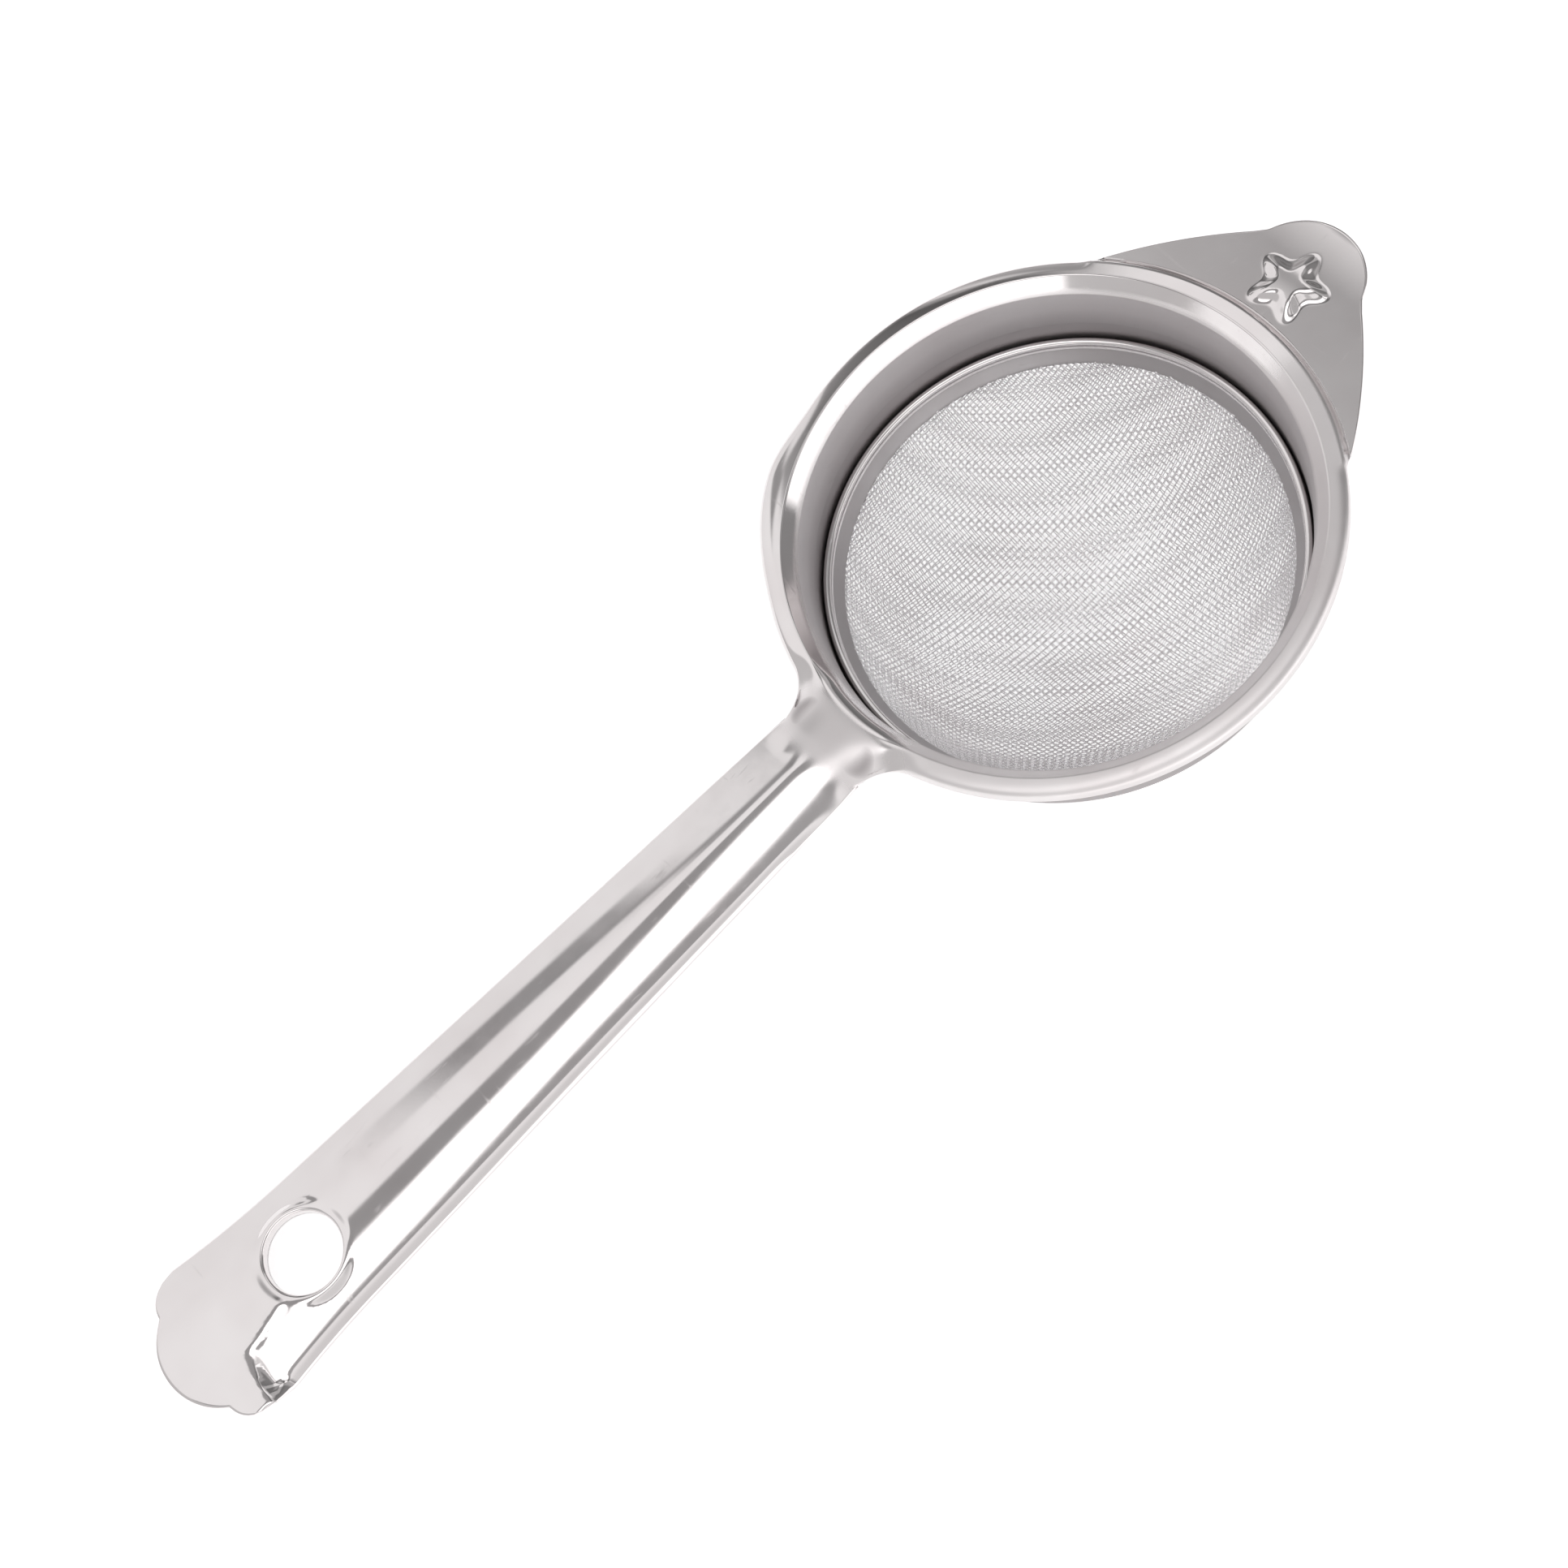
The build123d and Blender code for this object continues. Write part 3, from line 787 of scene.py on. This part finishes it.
def bump_node(nodes, links, height, distance, normal=None):
    node = nodes.new("ShaderNodeBump")
    node.inputs["Strength"].default_value = 1.0
    node.inputs["Distance"].default_value = distance
    links.new(height, node.inputs["Height"])
    if normal is not None:
        links.new(normal, node.inputs["Normal"])
    return node.outputs["Normal"]


def steel(name, colour, rough_low, rough_high, grain, wave_height, scratch_depth, satin_and_shade=0.0):
    """Bright stainless steel: soft waves from the press, fine grain and hair scratches.

    When switched on, the piece's attribute of the same name as this argument makes it rougher; where that
    attribute passes 0.85 it also paints shade, darkening the colour to about half.
    """
    material, nodes, links, shader = node_material(name)
    coords = nodes.new("ShaderNodeTexCoord").outputs["Object"]
    shader.inputs["Metallic"].default_value = 1.0
    cloudy = ranged(nodes, links, noise(nodes, links, coords, 60, 3, 0.6), 0.35, 0.7, 0, 1)
    tint = blend(nodes, links, cloudy, colour, darker(colour, (0.93, 0.915, 0.915)))
    patchy = noise(nodes, links, coords, 140, 4, 0.65)
    rough = ranged(nodes, links, patchy, 0.3, 0.75, rough_low, rough_high)
    if satin_and_shade:
        dull_and_shade = nodes.new("ShaderNodeAttribute")
        dull_and_shade.attribute_name = "satin_and_shade"
        # painted shade: past 0.85 the attribute darkens the colour to about half; below that it only adds
        # roughness
        share = ranged(nodes, links, dull_and_shade.outputs["Fac"], 0.85, 1.0, 0, 1)
        tint = blend(nodes, links, share, tint, darker(colour, (0.52, 0.505, 0.51)))
        rougher = math_node(nodes, links, "MULTIPLY", dull_and_shade.outputs["Fac"], satin_and_shade)
        rough = math_node(nodes, links, "ADD", rough, rougher)
    links.new(tint, shader.inputs["Base Color"])
    hair = noise(nodes, links, coords, 900, 2, 0.6, (0.05, 1, 1))
    scratch = ranged(nodes, links, hair, 0.66, 0.74, 0, 1)
    cross = noise(nodes, links, coords, 1000, 2, 0.6, (1, 0.05, 0.3))
    scratch_2 = ranged(nodes, links, cross, 0.68, 0.76, 0, 1)
    marks = math_node(nodes, links, "ADD", scratch, scratch_2)
    marked = math_node(nodes, links, "MULTIPLY", marks, 0.08)
    links.new(math_node(nodes, links, "ADD", marked, rough), shader.inputs["Roughness"])
    waves = bump_node(nodes, links, noise(nodes, links, coords, 75, 1, 0.4), wave_height)
    fine_grain = noise(nodes, links, coords, grain, 2, 0.6)
    height = math_node(nodes, links, "SUBTRACT", fine_grain, marks)
    links.new(bump_node(nodes, links, height, scratch_depth, waves), shader.inputs["Normal"])
    return material


# the sheet's per-point share adds roughness and, past 0.85, painted shade on the collar and the saddle's
# sides
polished = steel("polished_sheet", (0.80, 0.775, 0.775), 0.06, 0.13, 2600, 0.00003, 0.0000004, satin_and_shade=0.36)
bead = steel("ring_bead", (0.80, 0.78, 0.78), 0.1, 0.2, 2600, 0.00002, 0.0000006)
matte = steel("ring_matte_band", (0.52, 0.505, 0.51), 0.42, 0.55, 5200, 0.00002, 0.000004)
wire_steel = steel("wire", (0.93, 0.925, 0.935), 0.1, 0.2, 5200, 0.00001, 0.000001)


# --- pieces ---------------------------------------------------------------------------------------
frame_points, frame_faces = build_frame()
# roughness share that past 0.85 also paints shade on the collar and the saddle's sides
satin_and_shade_share = frame_satin_and_shade(frame_points)
sheet_piece = new_object("frame_sheet", to_row(frame_points), frame_faces, [polished], satin_and_shade=satin_and_shade_share)
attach(sheet_piece, "root")
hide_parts("strainer_frame")

ring_piece = build_ring([bead, matte])
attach(ring_piece, "root")
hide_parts("retaining_ring")

# the clamped edge of the cloths lies at the collar's foot, and each ball goes through it
foot_rise = BOWL_DEPTH - COLLAR_FOOT
BALL = (BOWL_MOUTH**2 + foot_rise**2) / (2 * foot_rise)
BALL_DEPTH = BOWL_DEPTH - BALL
for layer, node, sign in ((0, "outer_mesh", 1), (1, "inner_mesh", -1)):
    ball = BALL - CLOTH_HALF - LAYER_GAP * layer
    brim = COLLAR_FOOT - CLOTH_HALF - BRIM_GAP * layer
    for along_x, part in ((True, "warp"), (False, "weft")):
        name = f"{node}_{part}"
        piece = build_wires(name, ball, BALL_DEPTH, brim, sign, along_x, wire_steel)
        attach(piece, "root")
        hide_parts(node)


# --- floor, light and camera ----------------------------------------------------------------------
def build_floor():
    size = 3.0
    mesh = bpy.data.meshes.new("floor")
    corners = [(-size, -size, 0), (size, -size, 0), (size, size, 0), (-size, size, 0)]
    mesh.from_pydata(corners, [], [(0, 1, 2, 3)])
    floor = bpy.data.objects.new("floor", mesh)
    bpy.context.scene.collection.objects.link(floor)
    material, _, _, shader = node_material("floor_paper")
    shader.inputs["Base Color"].default_value = (0.8, 0.8, 0.8, 1)
    shader.inputs["Roughness"].default_value = 0.9
    shader.inputs["Specular IOR Level"].default_value = 0.1
    shader.inputs["Emission Color"].default_value = (1, 1, 1, 1)
    shader.inputs["Emission Strength"].default_value = 0.56
    mesh.materials.append(material)


# The light is a tent of pale bands and darker gaps along the handle. Each list gives the brightness at
# an angle across the handle, in degrees from straight up towards +y.
TENT_NEAR = [(-90, 0.55), (-50, 0.8), (-29, 1.0), (-26, 0.4), (-19, 0.4), (-16.5, 1.8), (2, 1.8), (5, 0.36),
             (17, 0.36), (19.5, 1.0)]
TENT_HANDLE = TENT_NEAR + [(90, 0.93)]
TENT_GAP = TENT_NEAR + [(40, 0.96), (43, 0.34), (57, 0.34), (61, 0.93), (90, 0.93)]
TENT_NECK = TENT_NEAR + [(34, 0.97), (37, 0.34), (43, 0.34), (48, 0.93), (90, 0.93)]
TENT_FLANGE = TENT_NEAR + [(31, 0.97), (34.5, 0.24), (65, 0.27), (90, 0.6)]
TENT_EDGE = [(-90, 0.55), (-20, 0.5), (8, 0.4), (16, 1.0), (37, 1.0), (42, 0.35), (90, 0.5)]
BEHIND_HANDLE = (0.62, 0.61, 0.61)


def tent_ramp(nodes, links, across, stops):
    bands = nodes.new("ShaderNodeValToRGB")
    ramp = bands.color_ramp
    ramp.interpolation = "EASE"
    while len(ramp.elements) < len(stops):
        ramp.elements.new(0.5)
    for element, (degree, value) in zip(ramp.elements, stops):
        element.position = (degree + 90) / 180
        element.color = (value, value * 0.985, value * 0.985, 1)
    links.new(across, bands.inputs["Fac"])
    return bands.outputs["Color"]


def build_world():
    """The light tent; which list it follows changes along the handle's direction, the turned x axis."""
    world = bpy.data.worlds.new("studio")
    bpy.context.scene.world = world
    world.use_nodes = True
    nodes, links = world.node_tree.nodes, world.node_tree.links
    coords = nodes.new("ShaderNodeTexCoord").outputs["Generated"]
    turn = nodes.new("ShaderNodeVectorRotate")
    turn.rotation_type = "Y_AXIS"
    turn.inputs["Angle"].default_value = math.atan2(-rim_axis[0], rim_axis[2])
    links.new(coords, turn.inputs["Vector"])
    split = nodes.new("ShaderNodeSeparateXYZ")
    links.new(turn.outputs["Vector"], split.inputs["Vector"])
    angle = math_node(nodes, links, "ARCTAN2", split.outputs["Y"], split.outputs["Z"])
    across = ranged(nodes, links, angle, math.radians(-90), math.radians(90), 0, 1)

    def along(low, high, start, end):
        return ranged(nodes, links, split.outputs["X"], low, high, start, end)

    def both(kind, a, b):
        return math_node(nodes, links, kind, a, b)

    ramps = [tent_ramp(nodes, links, across, stops)
             for stops in (TENT_HANDLE, TENT_GAP, TENT_NECK, TENT_FLANGE, TENT_EDGE)]
    tent = blend(nodes, links, along(-0.6, -0.5, 1.0, 0.0), ramps[0], BEHIND_HANDLE)
    share = both("MINIMUM", along(-0.1, -0.07, 0.0, 1.0), along(0.02, 0.04, 1.0, 0.0))
    tent = blend(nodes, links, share, tent, ramps[1])
    tent = blend(nodes, links, along(0.02, 0.04, 0.0, 1.0), tent, ramps[2])
    share = both("MINIMUM", along(0.085, 0.1, 0.0, 1.0), along(0.31, 0.34, 1.0, 0.0))
    tent = blend(nodes, links, share, tent, ramps[3])
    tent = blend(nodes, links, along(0.38, 0.46, 0.0, 1.0), tent, ramps[4])

    # the tent grows dim past the handle and comes back over the tab; a lamp stands low on the -y side
    rising = both("MINIMUM", along(0.345, 0.385, 0.0, 1.0), along(0.6, 0.7, 1.0, 0.5))
    side = both("MAXIMUM", along(0.14, 0.32, 1.0, 0.42), rising)
    level = ranged(nodes, links, split.outputs["Z"], 0.42, 0.5, 1.0, 0.0)
    lamp = both("MULTIPLY", ranged(nodes, links, split.outputs["Y"], -0.52, -0.46, 2.6, 0), level)
    background = nodes["Background"]
    links.new(tent, background.inputs["Color"])
    links.new(both("MAXIMUM", side, lamp), background.inputs["Strength"])


def build_camera():
    """The camera looks down on the bowl, with the handle towards the lower left."""
    azimuth, elevation, roll = math.radians(-10.1), math.radians(65.3), math.radians(-35.3)
    distance, shift_right, shift_up = 350.0, 32.1, 32.44
    flat = math.cos(elevation)
    back = np.array((math.sin(azimuth) * flat, -math.cos(azimuth) * flat, math.sin(elevation)))
    level = np.array((math.cos(azimuth), math.sin(azimuth), 0.0))
    up = np.cross(back, level)
    right = math.cos(roll) * level + math.sin(roll) * up
    top = -math.sin(roll) * level + math.cos(roll) * up
    place = -shift_right * right - shift_up * top + distance * back
    turn = np.stack([rim_x, rim_y, rim_axis], axis=1)
    axes = turn @ np.stack([right, top, back], axis=1)
    data = bpy.data.cameras.new("camera")
    data.sensor_width = 36.0
    data.lens = 66.17
    data.clip_start, data.clip_end = 0.01, 20.0
    camera = bpy.data.objects.new("camera", data)
    bpy.context.scene.collection.objects.link(camera)
    matrix = Matrix(axes.tolist()).to_4x4()
    matrix.translation = Vector(to_row(place))
    camera.matrix_world = matrix
    bpy.context.scene.camera = camera


build_floor()
build_world()
build_camera()
bpy.context.scene.view_settings.view_transform = "Standard"
